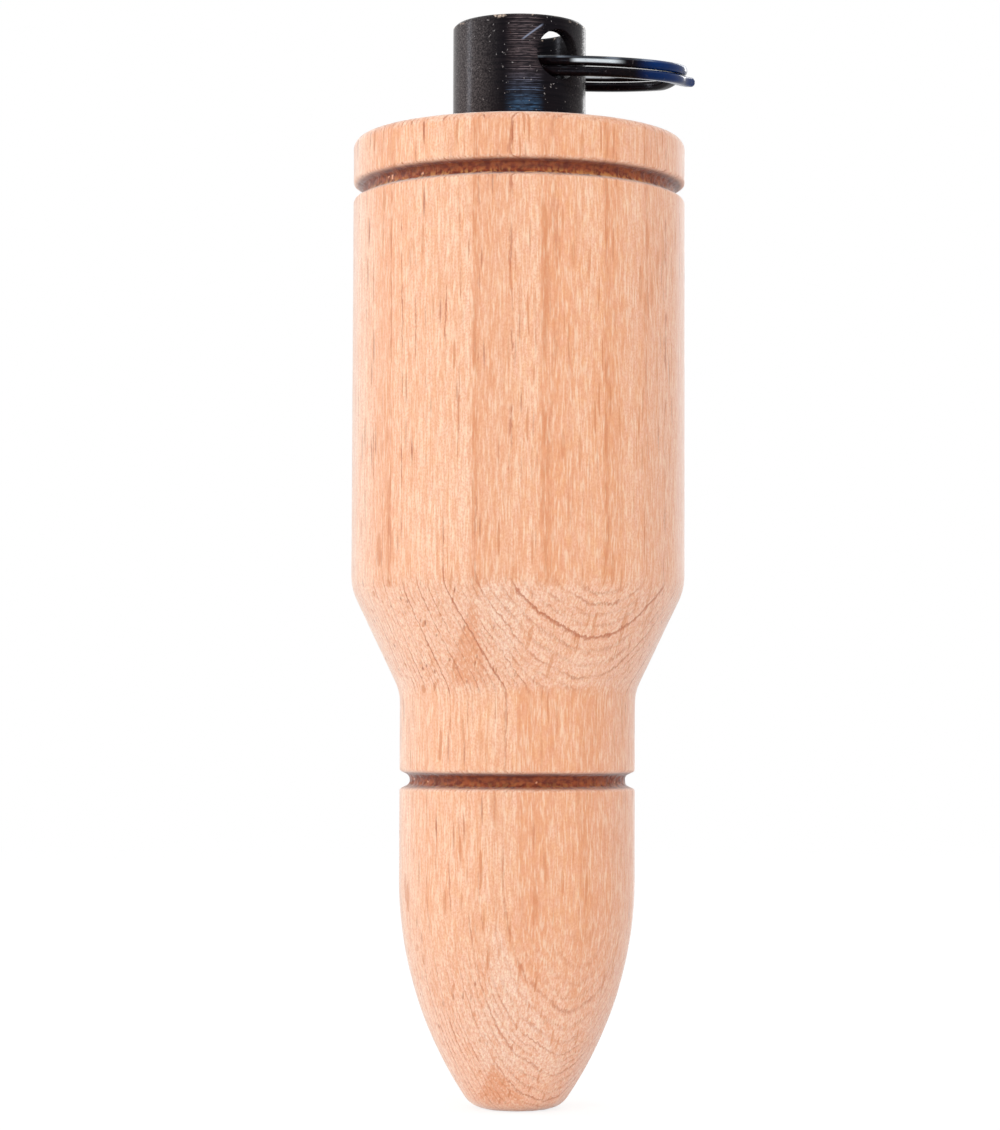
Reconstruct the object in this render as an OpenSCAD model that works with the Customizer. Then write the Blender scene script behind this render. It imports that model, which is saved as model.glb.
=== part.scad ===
// Deer call in the shape of a rifle cartridge, turned from one piece of beech.
// A black steel outlet tube is pushed into the head of the barrel and carries the reed set in its lower end.
// Air blown in at the bullet's tip fills the chamber, passes the reed and leaves through the open tube.
// The tip is at the origin, the barrel stands along +Z, and the viewer is toward -Y.

/* [Barrel] */
// Length of the bullet, from its tip to the lower groove
bullet_l = 23.6; // [20:0.05:30]
// Length of the bullet's curved nose
ogive_l = 17; // [14:0.1:19]
// Width of the flat ring round the blow hole at the tip
tip_wall = 1.25; // [0.8:0.05:2]
// Rounding of the tip's edge
tip_round = 2.1; // [0.2:0.1:2.1]
// Diameter of the bullet and the neck
neck_d = 17.65; // [16:0.05:20]
// Length of the neck between the lower groove and the shoulder
neck_l = 5.95; // [4:0.05:9]
// Length of the sloping shoulder
shoulder_l = 7.7; // [5:0.1:11]
// Diameter of the body
body_d = 25; // [22:0.5:30]
// Length of the straight body
body_l = 29; // [26:0.05:36]
// Length of the rim above the upper groove
rim_l = 3.3; // [2.5:0.1:6]
// Rounding of the rim's upper edge
rim_round = 0.8; // [0.2:0.1:1.2]
// Width of the two burnt grooves at their mouth
groove_w = 1.35; // [1:0.05:2]
// Depth of the two burnt grooves
groove_depth = 0.75; // [0.4:0.05:1.2]
// Radius of the hollow where the neck meets the shoulder
neck_blend = 3; // [1:0.5:6]
// Radius of the swell where the shoulder meets the body
body_blend = 5; // [1:0.5:9]

/* [Air way] */
// Diameter of the blow hole
blow_d = 4; // [3:0.1:5]
// Diameter of the chamber round the reed
chamber_d = 9; // [8:0.1:9.4]
// Included angle of the drill point at the bottom of the chamber and of the tube's mouth
drill_point = 118; // [90:1:140]
// Bevel at the mouth of the socket in the barrel's head
socket_bevel = 0.4; // [0.1:0.1:0.8]

/* [Outlet tube] */
// Outside diameter of the tube
tube_d = 10; // [9.6:0.1:12]
// Bore of the tube
tube_bore = 6.2; // [5.6:0.1:6.6]
// Length of the tube that stands out of the barrel
tube_out = 8.7; // [7:0.05:12]
// Length of the tube inside the barrel
tube_in = 21; // [17:0.5:24]
// Wall of the tube round its wide mouth
mouth_wall = 1.05; // [0.9:0.05:1.5]
// Depth of the wide mouth
mouth_l = 7; // [6:0.5:9]
// Bevel on the tube's top edge
tube_bevel = 0.2; // [0.1:0.05:0.5]
// Bevel on the tube's other edges
tube_break = 0.15; // [0.1:0.05:0.3]
// Distance of the cross hole's centre below the tube's top
cross_drop = 2.85; // [2.6:0.05:4]
// Turn of the cross hole from the viewer toward the right
cross_turn = 37; // [0:1:90]

/* [Split ring] */
// Mean diameter of the ring's two turns
ring_mean_d = 15.1; // [14:0.1:20]
// Width of the ring's wire across the ring
wire_w = 1; // [0.7:0.05:1.3]
// Thickness of the ring's wire along the ring's axis
wire_t = 0.72; // [0.5:0.02:0.9]
// Rounding of the wire's edges
wire_round = 0.3; // [0.1:0.05:0.35]
// Angle over which the wire steps from the lower turn to the upper one
step_angle = 36; // [30:2:80]
// Direction of the wire's lower end, from the direction in which the ring hangs out
end_angle = -36; // [-60:1:60]
// Angle over which the lower end bends outward
kick_angle = 16; // [8:1:30]
// Distance by which the lower end stands out
kick_out = 0.7; // [0:0.1:1]
// Rise of the ring's outer side
ring_lift = 3.4; // [0:0.1:10]
// Slant of the ring along the cross hole
ring_rock = 6.7; // [0:0.1:9]
// Distance of the ring's middle below the cross hole's axis
ring_drop = 0.25; // [0:0.05:0.6]

/* [Reed set] */
// Free length of the reed below the tube
reed_l = 14.5; // [11:0.5:18]
// Width of the reed
reed_w = 4.8; // [4:0.1:5]
// Thickness of the reed
reed_t = 0.2; // [0.1:0.05:0.3]
// Angle at which the reed stands off its trough
reed_set = 3; // [2:0.1:5]
// Angle that the reed closes by when it beats
reed_beat = 2.5; // [1:0.1:2.5]
// Length of the reed held in the tube
root_l = 4; // [3:0.5:6]
// Length of the trough and the wedge held in the tube
grip_l = 6; // [5:0.5:9]
// Diameter of the channel in the trough
channel_d = 3.6; // [2.6:0.1:4]
// Length of the trough's closed nose beyond the reed's tip
nose_l = 1.8; // [1:0.1:3]
// Wall between the channel and the trough's nose
nose_wall = 2.6; // [2:0.1:4]
// Length of the wedge that stands out of the tube
wedge_out = 1; // [0.5:0.1:2]

/* [Seals] */
// Thickness of the two seal rings
seal_t = 1; // [0.8:0.05:1.2]
// Distance of each seal from the nearer end of the tube's hidden length
seal_inset = 4.2; // [3:0.1:6]

/* [Clearances] */
// Radial clearance between the tube and its socket
socket_play = 0.05; // [0.02:0.01:0.1]
// Radial clearance between the seals and the socket
seal_play = 0.02; // [0.01:0.01:0.04]
// Radial clearance between each seal and its groove's floor
seal_seat_play = 0.02; // [0.01:0.01:0.05]
// Clearance at each side of a seal in its groove
seal_side_play = 0.1; // [0.05:0.05:0.2]
// Radial clearance between the reed set and the tube's bore
reed_seat_play = 0.02; // [0.01:0.01:0.05]
// Clearance between the reed's root and the faces that hold it
root_play = 0.08; // [0.05:0.01:0.12]
// Clearance between the reed set's lower end and the chamber's bottom
chamber_play = 3; // [1:0.5:6]
// Clearance round the ring's wire in the cross hole
cross_play = 0.08; // [0.05:0.01:0.3]
// Gap between the ring's two turns
turn_gap = 0.06; // [0.04:0.01:0.15]

/* [Hidden] */
$fn = 96;
past = 1;
nose_step = 3;
tip_share = 1.75;
corner_step = 10;
wire_corner_step = 45;

// Heights and radii of the barrel
neck_z = bullet_l + groove_w;
shoulder_z = neck_z + neck_l;
body_z = shoulder_z + shoulder_l;
body_top = body_z + body_l;
rim_z = body_top + groove_w;
barrel_l = rim_z + rim_l;
neck_r = neck_d / 2;
body_r = body_d / 2;
blow_r = blow_d / 2;
tip_r = blow_r + tip_wall;

// The nose is an arc that leaves the bullet's side without a corner
// A smaller arc rounds it into the flat of the tip
nose_drop = neck_r - tip_r;
ogive_r = (pow(ogive_l, 2) + pow(nose_drop, 2)) / (2 * nose_drop);
ogive_mid = neck_r - ogive_r;
tip_fit = min(tip_round, tip_share * tip_wall);
tip_mid = ogive_mid + sqrt(pow(ogive_r - tip_fit, 2) - pow(ogive_l - tip_fit, 2));
tip_turn = atan2(tip_fit - ogive_l, tip_mid - ogive_mid);
groove_slope = groove_w / 4;
groove_lip = groove_w / 5;
groove_foot = groove_w / 4;

// Heights and radii of the air way
tube_r = tube_d / 2;
bore_r = tube_bore / 2;
mouth_r = tube_r - mouth_wall;
socket_r = tube_r + socket_play;
chamber_r = chamber_d / 2;
seat_z = barrel_l - tube_in;
tube_top = barrel_l + tube_out;
mouth_z = tube_top - mouth_l;
reed_low = seat_z - reed_l - nose_l;
chamber_z = reed_low - chamber_play;
point_z = chamber_z - (chamber_r - blow_r) / tan(drill_point / 2);

// Seals: each fills its groove between the floor and the socket's wall
seal_r = seal_t / 2;
seal_mid = socket_r - seal_play - seal_r;
seal_floor = seal_mid - seal_r - seal_seat_play;
seal_half = seal_r + seal_side_play;
seal_low_z = seat_z + seal_inset;
seal_high_z = barrel_l - seal_inset;

// Split ring: its turns cross the tube's wall midway in the cross hole
ring_r = ring_mean_d / 2;
ring_pitch = wire_t + turn_gap;
ring_reach_in = sqrt(pow(ring_r, 2) - pow(mouth_r, 2));
ring_reach_out = sqrt(pow(ring_r, 2) - pow(tube_r, 2));
ring_offset = (ring_reach_in + ring_reach_out) / 2;
ring_step = 8;
wall_step = 0.5;
cross_z = tube_top - cross_drop;

// Reed set: the trough takes the half toward the viewer, the wedge the half behind the reed
reed_seat_r = bore_r - reed_seat_play;
trough_face = -root_play - reed_t / 2;
wedge_face = root_play + reed_t / 2;
wedge_rise = grip_l * tan(reed_beat);
channel_r = channel_d / 2;
reed_round = reed_w / 4;

// Points of an arc from one angle to another
function arc(centre, r, from, to, step) =
    let (steps = max(2, ceil(abs(to - from) / step)))
    [for (i = [0:steps]) let (a = from + (to - from) * i / steps) centre + r * [cos(a), sin(a)]];

// One corner of an outline, rounded with its own radius as far as its two sides allow
function corner(before, at, after, r, step) =
    let (u = (before - at) / norm(before - at))
    let (v = (after - at) / norm(after - at))
    let (half = acos(min(1, max(-1, u * v))) / 2)
    let (reach = min(r / tan(half), 0.48 * norm(before - at), 0.48 * norm(after - at)))
    let (fit = reach * tan(half))
    let (middle = at + (u + v) / norm(u + v) * fit / sin(half))
    let (first = at + u * reach - middle)
    let (last = at + v * reach - middle)
    let (start = atan2(first[1], first[0]))
    let (turn = atan2(first[0] * last[1] - first[1] * last[0], first * last))
    arc(middle, fit, start, start + turn, step);

// A closed outline of [x, y, radius] corners with every marked corner rounded
function rounded(corners, step = corner_step) =
    let (n = len(corners))
    let (at = [for (c = corners) [c[0], c[1]]])
    [for (i = [0:n - 1])
        each corners[i][2] > 0
            ? corner(at[(i + n - 1) % n], at[i], at[(i + 1) % n], corners[i][2], step)
            : [at[i]]];

// Corners of a burnt groove turned into a side of radius r, starting at height z
function groove(r, z) = [
    [r, z, groove_lip],
    [r - groove_depth, z + groove_slope, groove_foot],
    [r - groove_depth, z + groove_w - groove_slope, groove_foot],
    [r, z + groove_w, groove_lip]];

// Middle of the split ring's wire at an angle along its two turns
function wire_level(a) =
    let (t = min(1, max(0, (a - 360 + step_angle) / step_angle)))
    ring_pitch * (t * t * (3 - 2 * t) - 0.5);
function wire_reach(a) = ring_r + kick_out * pow(max(0, 1 - a / kick_angle), 2);
function wire_point(a, p) =
    let (turn = end_angle - a)
    let (out = wire_reach(a) + p[0])
    [out * cos(turn), out * sin(turn), wire_level(a) + p[1]];

wire_section = rounded([
    [-wire_w / 2, -wire_t / 2, wire_round],
    [wire_w / 2, -wire_t / 2, wire_round],
    [wire_w / 2, wire_t / 2, wire_round],
    [-wire_w / 2, wire_t / 2, wire_round]], wire_corner_step);
wire_sides = len(wire_section);
wire_steps = ceil((720 - step_angle) / ring_step);
wire_angles = [for (i = [0:wire_steps]) (720 - step_angle) * i / wire_steps];

// The cross hole clears the farthest point of the wire inside the tube's wall
function from_cross_hole(p) =
    let (q = p + [ring_offset, 0, -ring_drop])
    [q[0], q[1] * cos(ring_rock) - q[2] * sin(ring_rock), q[1] * sin(ring_rock) + q[2] * cos(ring_rock)];
wall_points = [for (a = [0:wall_step:720 - step_angle]) each [for (p = wire_section)
    let (q = from_cross_hole(wire_point(a, p)))
    let (reach = norm([q[0], q[1]]))
    if (reach > mouth_r && reach < tube_r) q]];
cross_r = max([for (q = wall_points) norm([q[0], q[2]])]) + cross_play;

turn_gap_found = min([for (a = wire_angles) if (a >= 360) wire_level(a) - wire_level(a - 360) - wire_t]);
echo(str("Least gap between the split ring's turns, in mm: ", turn_gap_found));
echo(str("Diameter of the cross hole, in mm: ", 2 * cross_r));

// A solid of revolution between two heights with one rounded lower end
module round_ended_rod(r, low, high, end_round) {
    rotate_extrude()
        polygon(rounded([[0, low, 0], [r, low, end_round], [r, high, 0], [0, high, 0]]));
}

// A prism across the reed's width, from an outline of [y, z] points
module across_reed(width, outline) {
    rotate([90, 0, 90])
        linear_extrude(height = width, center = true)
            polygon(outline);
}

module barrel() {
    tip_arc = arc([tip_mid, tip_fit], tip_fit, -90, tip_turn, corner_step);
    nose_arc = arc([ogive_mid, ogive_l], ogive_r, tip_turn, 0, nose_step);
    nose = concat(tip_arc, [for (i = [1:len(nose_arc) - 1]) nose_arc[i]]);
    outside = concat(
        [[blow_r, 0, 0]],
        [for (p = nose) [p[0], p[1], 0]],
        groove(neck_r, bullet_l),
        [[neck_r, shoulder_z, neck_blend], [body_r, body_z, body_blend]],
        groove(body_r, body_top),
        [[body_r, barrel_l, rim_round]]);
    inside = [
        [socket_r + socket_bevel, barrel_l, 0],
        [socket_r, barrel_l - socket_bevel, 0],
        [socket_r, seat_z, 0],
        [chamber_r, seat_z, 0],
        [chamber_r, chamber_z, 0],
        [blow_r, point_z, 0]];
    color([0.87, 0.66, 0.48])
        rotate_extrude()
            polygon(rounded(concat(outside, inside)));
}

// Half of the tube's wall as a section, with the two seal grooves in its outer side
module tube_section() {
    difference() {
        polygon([
            [bore_r + tube_break, seat_z],
            [tube_r - tube_break, seat_z],
            [tube_r, seat_z + tube_break],
            [tube_r, tube_top - tube_bevel],
            [tube_r - tube_bevel, tube_top],
            [mouth_r + tube_break, tube_top],
            [mouth_r, tube_top - tube_break],
            [mouth_r, mouth_z],
            [bore_r, mouth_z - abs(mouth_r - bore_r) / tan(drill_point / 2)],
            [bore_r, seat_z + tube_break]]);
        for (z = [seal_low_z, seal_high_z])
            translate([seal_floor, z - seal_half])
                square([tube_r - seal_floor + past, 2 * seal_half]);
    }
}

// Places its children at the cross hole, with X the way that the ring hangs out and Y along the hole
module at_cross_hole() {
    rotate([0, 0, cross_turn])
        translate([0, 0, cross_z])
            children();
}

module outlet_tube() {
    color([0.14, 0.14, 0.15])
        difference() {
            rotate_extrude()
                tube_section();
            at_cross_hole()
                rotate([90, 0, 0])
                    cylinder(r = cross_r, h = tube_d + 2 * past, center = true);
        }
}

module split_ring() {
    last = wire_sides * wire_steps;
    points = [for (a = wire_angles) each [for (p = wire_section) wire_point(a, p)]];
    sides = [for (i = [0:wire_steps - 1]) each [for (j = [0:wire_sides - 1])
        let (k = (j + 1) % wire_sides)
        each [
            [i * wire_sides + j, (i + 1) * wire_sides + k, (i + 1) * wire_sides + j],
            [i * wire_sides + j, i * wire_sides + k, (i + 1) * wire_sides + k]]]];
    low_end = [[for (j = [wire_sides - 1:-1:0]) j]];
    high_end = [[for (j = [0:wire_sides - 1]) last + j]];
    color([0.07, 0.07, 0.08])
        at_cross_hole()
            rotate([0, -ring_lift, 0])
                rotate([ring_rock, 0, 0])
                    translate([ring_offset, 0, -ring_drop])
                        polyhedron(points = points, faces = concat(sides, low_end, high_end));
}

module reed_trough() {
    color([0.80, 0.64, 0.30])
        difference() {
            round_ended_rod(reed_seat_r, reed_low, seat_z + grip_l, reed_seat_r / 2);
            round_ended_rod(channel_r, reed_low + nose_wall, seat_z + grip_l + past, channel_r / 2);
            translate([-body_r, trough_face, 0])
                cube([body_d, body_r, tube_top]);
        }
}

module reed_tongue() {
    tip = [reed_l * sin(reed_set), -reed_l * cos(reed_set)];
    side = [cos(reed_set), sin(reed_set)] * reed_t / 2;
    miter = [reed_t / 2, reed_t / 2 * tan(reed_set / 2)];
    color([0.78, 0.52, 0.30])
        translate([0, 0, seat_z])
            intersection() {
                across_reed(reed_w, [
                    [-reed_t / 2, root_l], [reed_t / 2, root_l], miter, tip + side, tip - side, -miter]);
                rotate([90, 0, 0])
                    linear_extrude(height = body_d, center = true)
                        polygon(rounded([
                            [-reed_w / 2, tip[1], reed_round],
                            [reed_w / 2, tip[1], reed_round],
                            [reed_w / 2, root_l, 0],
                            [-reed_w / 2, root_l, 0]]));
            }
}

module reed_wedge() {
    color([0.72, 0.55, 0.37])
        translate([0, 0, seat_z])
            intersection() {
                translate([0, 0, -wedge_out])
                    cylinder(r = reed_seat_r, h = wedge_out + grip_l);
                across_reed(tube_d, [
                    [wedge_face + (wedge_out + reed_t) * tan(reed_set), -wedge_out],
                    [body_r, -wedge_out],
                    [body_r, grip_l],
                    [wedge_face + wedge_rise, grip_l],
                    [wedge_face, 0]]);
            }
}

// One round-section rubber ring at height z
module seal_ring(z) {
    color([0.10, 0.10, 0.10])
        translate([0, 0, z])
            rotate_extrude()
                translate([seal_mid, 0])
                    circle(r = seal_r);
}

module seal_ring_upper() {
    seal_ring(seal_high_z);
}

module seal_ring_lower() {
    seal_ring(seal_low_z);
}

barrel();
outlet_tube();
split_ring();
reed_trough();
reed_tongue();
reed_wedge();
seal_ring_upper();
seal_ring_lower();
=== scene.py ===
import math

import bmesh
import bpy
from mathutils import Matrix, Vector, noise


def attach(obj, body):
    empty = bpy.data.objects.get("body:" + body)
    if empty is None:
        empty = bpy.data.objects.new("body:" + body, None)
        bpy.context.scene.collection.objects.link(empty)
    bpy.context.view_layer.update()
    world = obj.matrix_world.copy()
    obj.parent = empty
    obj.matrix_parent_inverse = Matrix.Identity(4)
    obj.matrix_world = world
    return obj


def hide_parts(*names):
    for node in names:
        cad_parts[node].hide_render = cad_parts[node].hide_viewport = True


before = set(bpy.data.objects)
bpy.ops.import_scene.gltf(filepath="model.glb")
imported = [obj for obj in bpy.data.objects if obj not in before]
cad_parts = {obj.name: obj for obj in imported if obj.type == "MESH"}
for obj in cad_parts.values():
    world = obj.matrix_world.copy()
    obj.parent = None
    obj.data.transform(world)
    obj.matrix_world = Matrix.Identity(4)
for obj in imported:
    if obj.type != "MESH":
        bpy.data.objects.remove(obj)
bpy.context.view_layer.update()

# The deer call's turned barrel, its tube and its wire ring, and the finishes of all its pieces.
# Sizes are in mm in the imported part's own frame: the bullet's tip at the origin, the tube's mouth up.
MM = 0.001

# Barrel
BULLET_L, OGIVE_L, TIP_WALL, TIP_ROUND = 23.6, 17.0, 1.25, 2.1
NECK_D, NECK_L, SHOULDER_L = 17.65, 5.95, 7.7
BODY_D, BODY_L, RIM_L, RIM_ROUND = 25.0, 29.0, 3.3, 0.8
GROOVE_W, GROOVE_DEPTH = 1.35, 0.75
NECK_BLEND, BODY_BLEND = 3.0, 5.0
BLOW_D, CHAMBER_D, DRILL_POINT, SOCKET_BEVEL = 4.0, 9.0, 118.0, 0.4

# Outlet tube and the air way under it
TUBE_D, TUBE_BORE, TUBE_OUT, TUBE_IN, SOCKET_PLAY = 10.0, 6.2, 8.7, 21.0, 0.05
MOUTH_WALL, MOUTH_L, TUBE_BEVEL, TUBE_BREAK = 1.05, 7.0, 0.2, 0.15
CROSS_DROP, CROSS_TURN, CROSS_R = 2.85, 37.0, 1.849
SEAL_T, SEAL_INSET, SEAL_PLAY, SEAL_SIDE_PLAY = 1.0, 4.2, 0.02, 0.1
REED_L, NOSE_L, CHAMBER_PLAY = 14.5, 1.8, 3.0

# Split ring
RING_MEAN_D, WIRE_W, WIRE_T, WIRE_ROUND, TURN_GAP = 15.1, 1.0, 0.72, 0.3, 0.06
STEP_ANGLE, END_ANGLE, KICK_ANGLE, KICK_OUT = 36.0, -36.0, 16.0, 0.7
RING_LIFT, RING_ROCK, RING_DROP = 3.4, 6.7, 0.25

# Heights that follow
NECK_Z = BULLET_L + GROOVE_W
SHOULDER_Z = NECK_Z + NECK_L
BODY_Z = SHOULDER_Z + SHOULDER_L
BODY_TOP = BODY_Z + BODY_L
RIM_Z = BODY_TOP + GROOVE_W
BARREL_L = RIM_Z + RIM_L
TUBE_TOP = BARREL_L + TUBE_OUT
SEAT_Z = BARREL_L - TUBE_IN
CHAMBER_Z = SEAT_Z - REED_L - NOSE_L - CHAMBER_PLAY
CROSS_Z = TUBE_TOP - CROSS_DROP
MOUTH_R = TUBE_D / 2 - MOUTH_WALL

# How fine the meshes are: columns round a piece, degrees for each step of a curve, and mm for an edge
BARREL_SIDES, TIP_STEP, OGIVE_STEP, ROUND_STEP, LONGEST_EDGE = 300, 4.0, 0.8, 6.0, 0.5
TUBE_SIDES, TUBE_STEP = 240, 30.0
WIRE_STEP, SECTION_STEP = 2.0, 15.0
# The most of a side that one rounded corner takes, and the gap in mm under which two points are one
CORNER_SHARE, SAME_POINT = 0.48, 0.0005


def share_of(value):
    """A value held between 0 and 1."""
    return min(1.0, max(0.0, value))


def arc(centre, radius, start, end, step):
    """Points of an arc between two angles in degrees."""
    steps = max(2, math.ceil(abs(end - start) / step))
    turns = [math.radians(start + (end - start) * i / steps) for i in range(steps + 1)]
    return [centre + radius * Vector((math.cos(a), math.sin(a))) for a in turns]


def corner(before, at, after, radius, step):
    """One rounded corner of an outline, as far as its two sides allow."""
    u, v = (before - at).normalized(), (after - at).normalized()
    half = u.angle(v) / 2
    room = CORNER_SHARE * min((before - at).length, (after - at).length)
    reach = min(radius / math.tan(half), room)
    fit = reach * math.tan(half)
    middle = at + (u + v).normalized() * fit / math.sin(half)
    first, last = at + u * reach - middle, at + v * reach - middle
    start = math.degrees(math.atan2(first.y, first.x))
    sweep = math.degrees(math.atan2(first.x * last.y - first.y * last.x, first.dot(last)))
    return arc(middle, fit, start, start + sweep, step)


def rounded(corners, step):
    """A closed outline from (x, y, radius) corners."""
    at = [Vector(c[:2]) for c in corners]
    points = []
    for i, (_, _, radius) in enumerate(corners):
        after = at[(i + 1) % len(at)]
        points += corner(at[i - 1], at[i], after, radius, step) if radius else [at[i]]
    return points


def close_up(outline, longest, bore_r):
    """Adds points along the outside so that none are further apart; straight bores stay as they are."""
    points = []
    for i, a in enumerate(outline):
        b = outline[(i + 1) % len(outline)]
        in_bore = abs(a.x - b.x) < SAME_POINT and a.x <= bore_r
        parts = 1 if in_bore else max(1, math.ceil((b - a).length / longest))
        points += [a.lerp(b, k / parts) for k in range(parts)]
    return points


def drill_cone(wide_r, narrow_r):
    """How far the point of a wide bore's drill reaches on until it meets a narrow bore."""
    return (wide_r - narrow_r) / math.tan(math.radians(DRILL_POINT / 2))


def piece_from(name, points, faces, sharp=30.0):
    """A smooth mesh piece from points in mm, with hard edges where faces meet at more than an angle."""
    mesh = bpy.data.meshes.new(name)
    mesh.from_pydata([Vector(p) * MM for p in points], [], faces)
    shape = bmesh.new()
    shape.from_mesh(mesh)
    bmesh.ops.remove_doubles(shape, verts=shape.verts, dist=SAME_POINT * MM)
    bmesh.ops.recalc_face_normals(shape, faces=shape.faces)
    shape.to_mesh(mesh)
    shape.free()
    mesh.shade_smooth()
    mesh.set_sharp_from_angle(angle=math.radians(sharp))
    piece = bpy.data.objects.new(name, mesh)
    bpy.context.scene.collection.objects.link(piece)
    return piece


def mark_points(piece, name, value_at):
    """Keeps a number on each point of a piece, worked out from the point's place in mm."""
    marks = piece.data.attributes.new(name, "FLOAT", "POINT")
    for vertex in piece.data.vertices:
        marks.data[vertex.index].value = value_at(vertex.co / MM)


def turned(outline, sides, start=0.0, offset=None, left_open=None):
    """Points and faces of a closed (radius, height) outline turned about the call's axis.

    offset moves each point in or out, and left_open names the faces to leave out by their column and row."""
    points, faces = [], []
    count = len(outline)
    for i in range(sides):
        a = start + 2 * math.pi * i / sides
        for p in outline:
            r = p.x + (offset(p.x, p.y, a) if offset else 0.0)
            points.append((r * math.cos(a), r * math.sin(a), p.y))
    for i in range(sides):
        k = (i + 1) % sides
        for j in range(count):
            n = (j + 1) % count
            if not (left_open and left_open(i, j)):
                faces.append((i * count + j, k * count + j, k * count + n, i * count + n))
    return points, faces


# Barrel: the same outline as the solid's, with finer curves and the small unevenness of turned wood
GROOVE_SLOPE, GROOVE_EDGE = GROOVE_W / 4, GROOVE_W / 5


def groove(radius, z):
    """The corners of a groove in a side of some radius, from its lower edge up."""
    floor_r = radius - GROOVE_DEPTH
    return [
        (radius, z, GROOVE_EDGE),
        (floor_r, z + GROOVE_SLOPE, GROOVE_SLOPE),
        (floor_r, z + GROOVE_W - GROOVE_SLOPE, GROOVE_SLOPE),
        (radius, z + GROOVE_W, GROOVE_EDGE),
    ]


def barrel_outline():
    """Up the outside from tip to rim, and down through the socket, the reed chamber and the blow hole."""
    neck_r, body_r, blow_r, socket_r = NECK_D / 2, BODY_D / 2, BLOW_D / 2, TUBE_D / 2 + SOCKET_PLAY
    chamber_r = CHAMBER_D / 2
    nose_drop = neck_r - blow_r - TIP_WALL
    ogive_r = (OGIVE_L ** 2 + nose_drop ** 2) / (2 * nose_drop)
    ogive_mid = Vector((neck_r - ogive_r, OGIVE_L))
    tip_out = math.sqrt((ogive_r - TIP_ROUND) ** 2 - (OGIVE_L - TIP_ROUND) ** 2)
    tip_mid = Vector((ogive_mid.x + tip_out, TIP_ROUND))
    tip_turn = math.degrees(math.atan2(TIP_ROUND - OGIVE_L, tip_out))
    nose = arc(tip_mid, TIP_ROUND, -90, tip_turn, TIP_STEP)
    nose += arc(ogive_mid, ogive_r, tip_turn, 0, OGIVE_STEP)[1:]
    corners = [(blow_r, 0, 0)]
    corners += [(p.x, p.y, 0) for p in nose]
    corners += groove(neck_r, BULLET_L)
    corners += [(neck_r, SHOULDER_Z, NECK_BLEND), (body_r, BODY_Z, BODY_BLEND)]
    corners += groove(body_r, BODY_TOP)
    corners += [
        (body_r, BARREL_L, RIM_ROUND),
        (socket_r + SOCKET_BEVEL, BARREL_L, 0),
        (socket_r, BARREL_L - SOCKET_BEVEL, 0),
        (socket_r, SEAT_Z, 0),
        (chamber_r, SEAT_Z, 0),
        (chamber_r, CHAMBER_Z, 0),
        (blow_r, CHAMBER_Z - drill_cone(chamber_r, blow_r), 0),
    ]
    return close_up(rounded(corners, ROUND_STEP), LONGEST_EDGE, socket_r)


# How far under a groove's floor a point still counts as part of it
UNDER_FLOOR = 0.1


def groove_share(r, z):
    """How deep a point lies in one of the two grooves, from 0 at the side to 1 at the floor."""
    for side_r, low in ((NECK_D / 2, BULLET_L), (BODY_D / 2, BODY_TOP)):
        if low < z < low + GROOVE_W and r > side_r - GROOVE_DEPTH - UNDER_FLOOR:
            return share_of((side_r - r) / GROOVE_DEPTH)
    return 0.0


def groove_rise(at):
    """How high a point lies in the groove of its half of the barrel, from 0 at the lower edge to 1."""
    low = BODY_TOP if at.z > BODY_Z else BULLET_L
    return share_of((at.z - low) / GROOVE_W)


# The flats that sanding by hand left along the barrel: where each begins, in degrees from the front to the
# right, and the painted light and shade on it there and at its other edge, from 0 for darker painted shade to
# 1 for paler painted light
BODY_FLATS = (
    (-172, 0.2, 0.8), (-148, 0.1, 0.7), (-119, 0.3, 0.9), (-96, 0.6, 1.0), (-72, 1.0, 0.0),
    (-47, 0.6, 0.95), (-16, 0.05, 0.9), (6.6, 0.0, 0.75), (28.6, 0.0, 1.0), (45.3, 0.3, 0.75),
    (68, 0.3, 0.8), (93, 0.1, 0.7), (115, 0.2, 0.9), (141, 0.3, 0.8), (163, 0.1, 0.6),
)
BULLET_FLATS = (
    (-168, 0.2, 0.7), (-139, 0.3, 0.8), (-110, 0.4, 0.9), (-76, 1.0, 0.45), (-44, 0.75, 1.0), (-1, 0.15, 0.5),
    (30.4, 0.0, 0.3), (50.6, 0.3, 0.5), (77, 0.2, 0.8), (104, 0.1, 0.7), (131, 0.2, 0.8), (155, 0.3, 0.7),
)
FLAT_DEPTH = 0.05
# Waves of sanding and torn fibres: their depth, the scale of their noise, and how far it is moved inward
WAVE_DEPTH, WAVE_SCALE, WAVE_INWARD = 0.012, 0.35, 0.9
FIBRE_DEPTH, FIBRE_SCALE, FIBRE_SCALE_UP, FIBRE_INWARD = 0.07, 2.4, 3.5, 0.6
# Points within these radii belong to the bores and stay plain, the wider one only above the tip
PLAIN_BLOW_R, PLAIN_SOCKET_R, ABOVE_TIP = BLOW_D / 2 + 0.01, TUBE_D / 2 + 0.6, 6.0


def flat_hollow(z, a):
    """How far a flat lies under the round at an angle from the x axis; it fades in its last mm."""
    on_body = z > BODY_Z
    edges = [flat[0] for flat in (BODY_FLATS if on_body else BULLET_FLATS)]
    shown = share_of(min(z - BODY_Z, BARREL_L - z) if on_body else SHOULDER_Z - z)
    turn = (math.degrees(a) + 270) % 360 - 180
    for low, high in zip([edges[-1] - 360] + edges, edges + [edges[0] + 360]):
        if low <= turn < high:
            across = (2 * turn - low - high) / (high - low)
            return FLAT_DEPTH * shown * (1 - across ** 2)
    return 0.0


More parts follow.
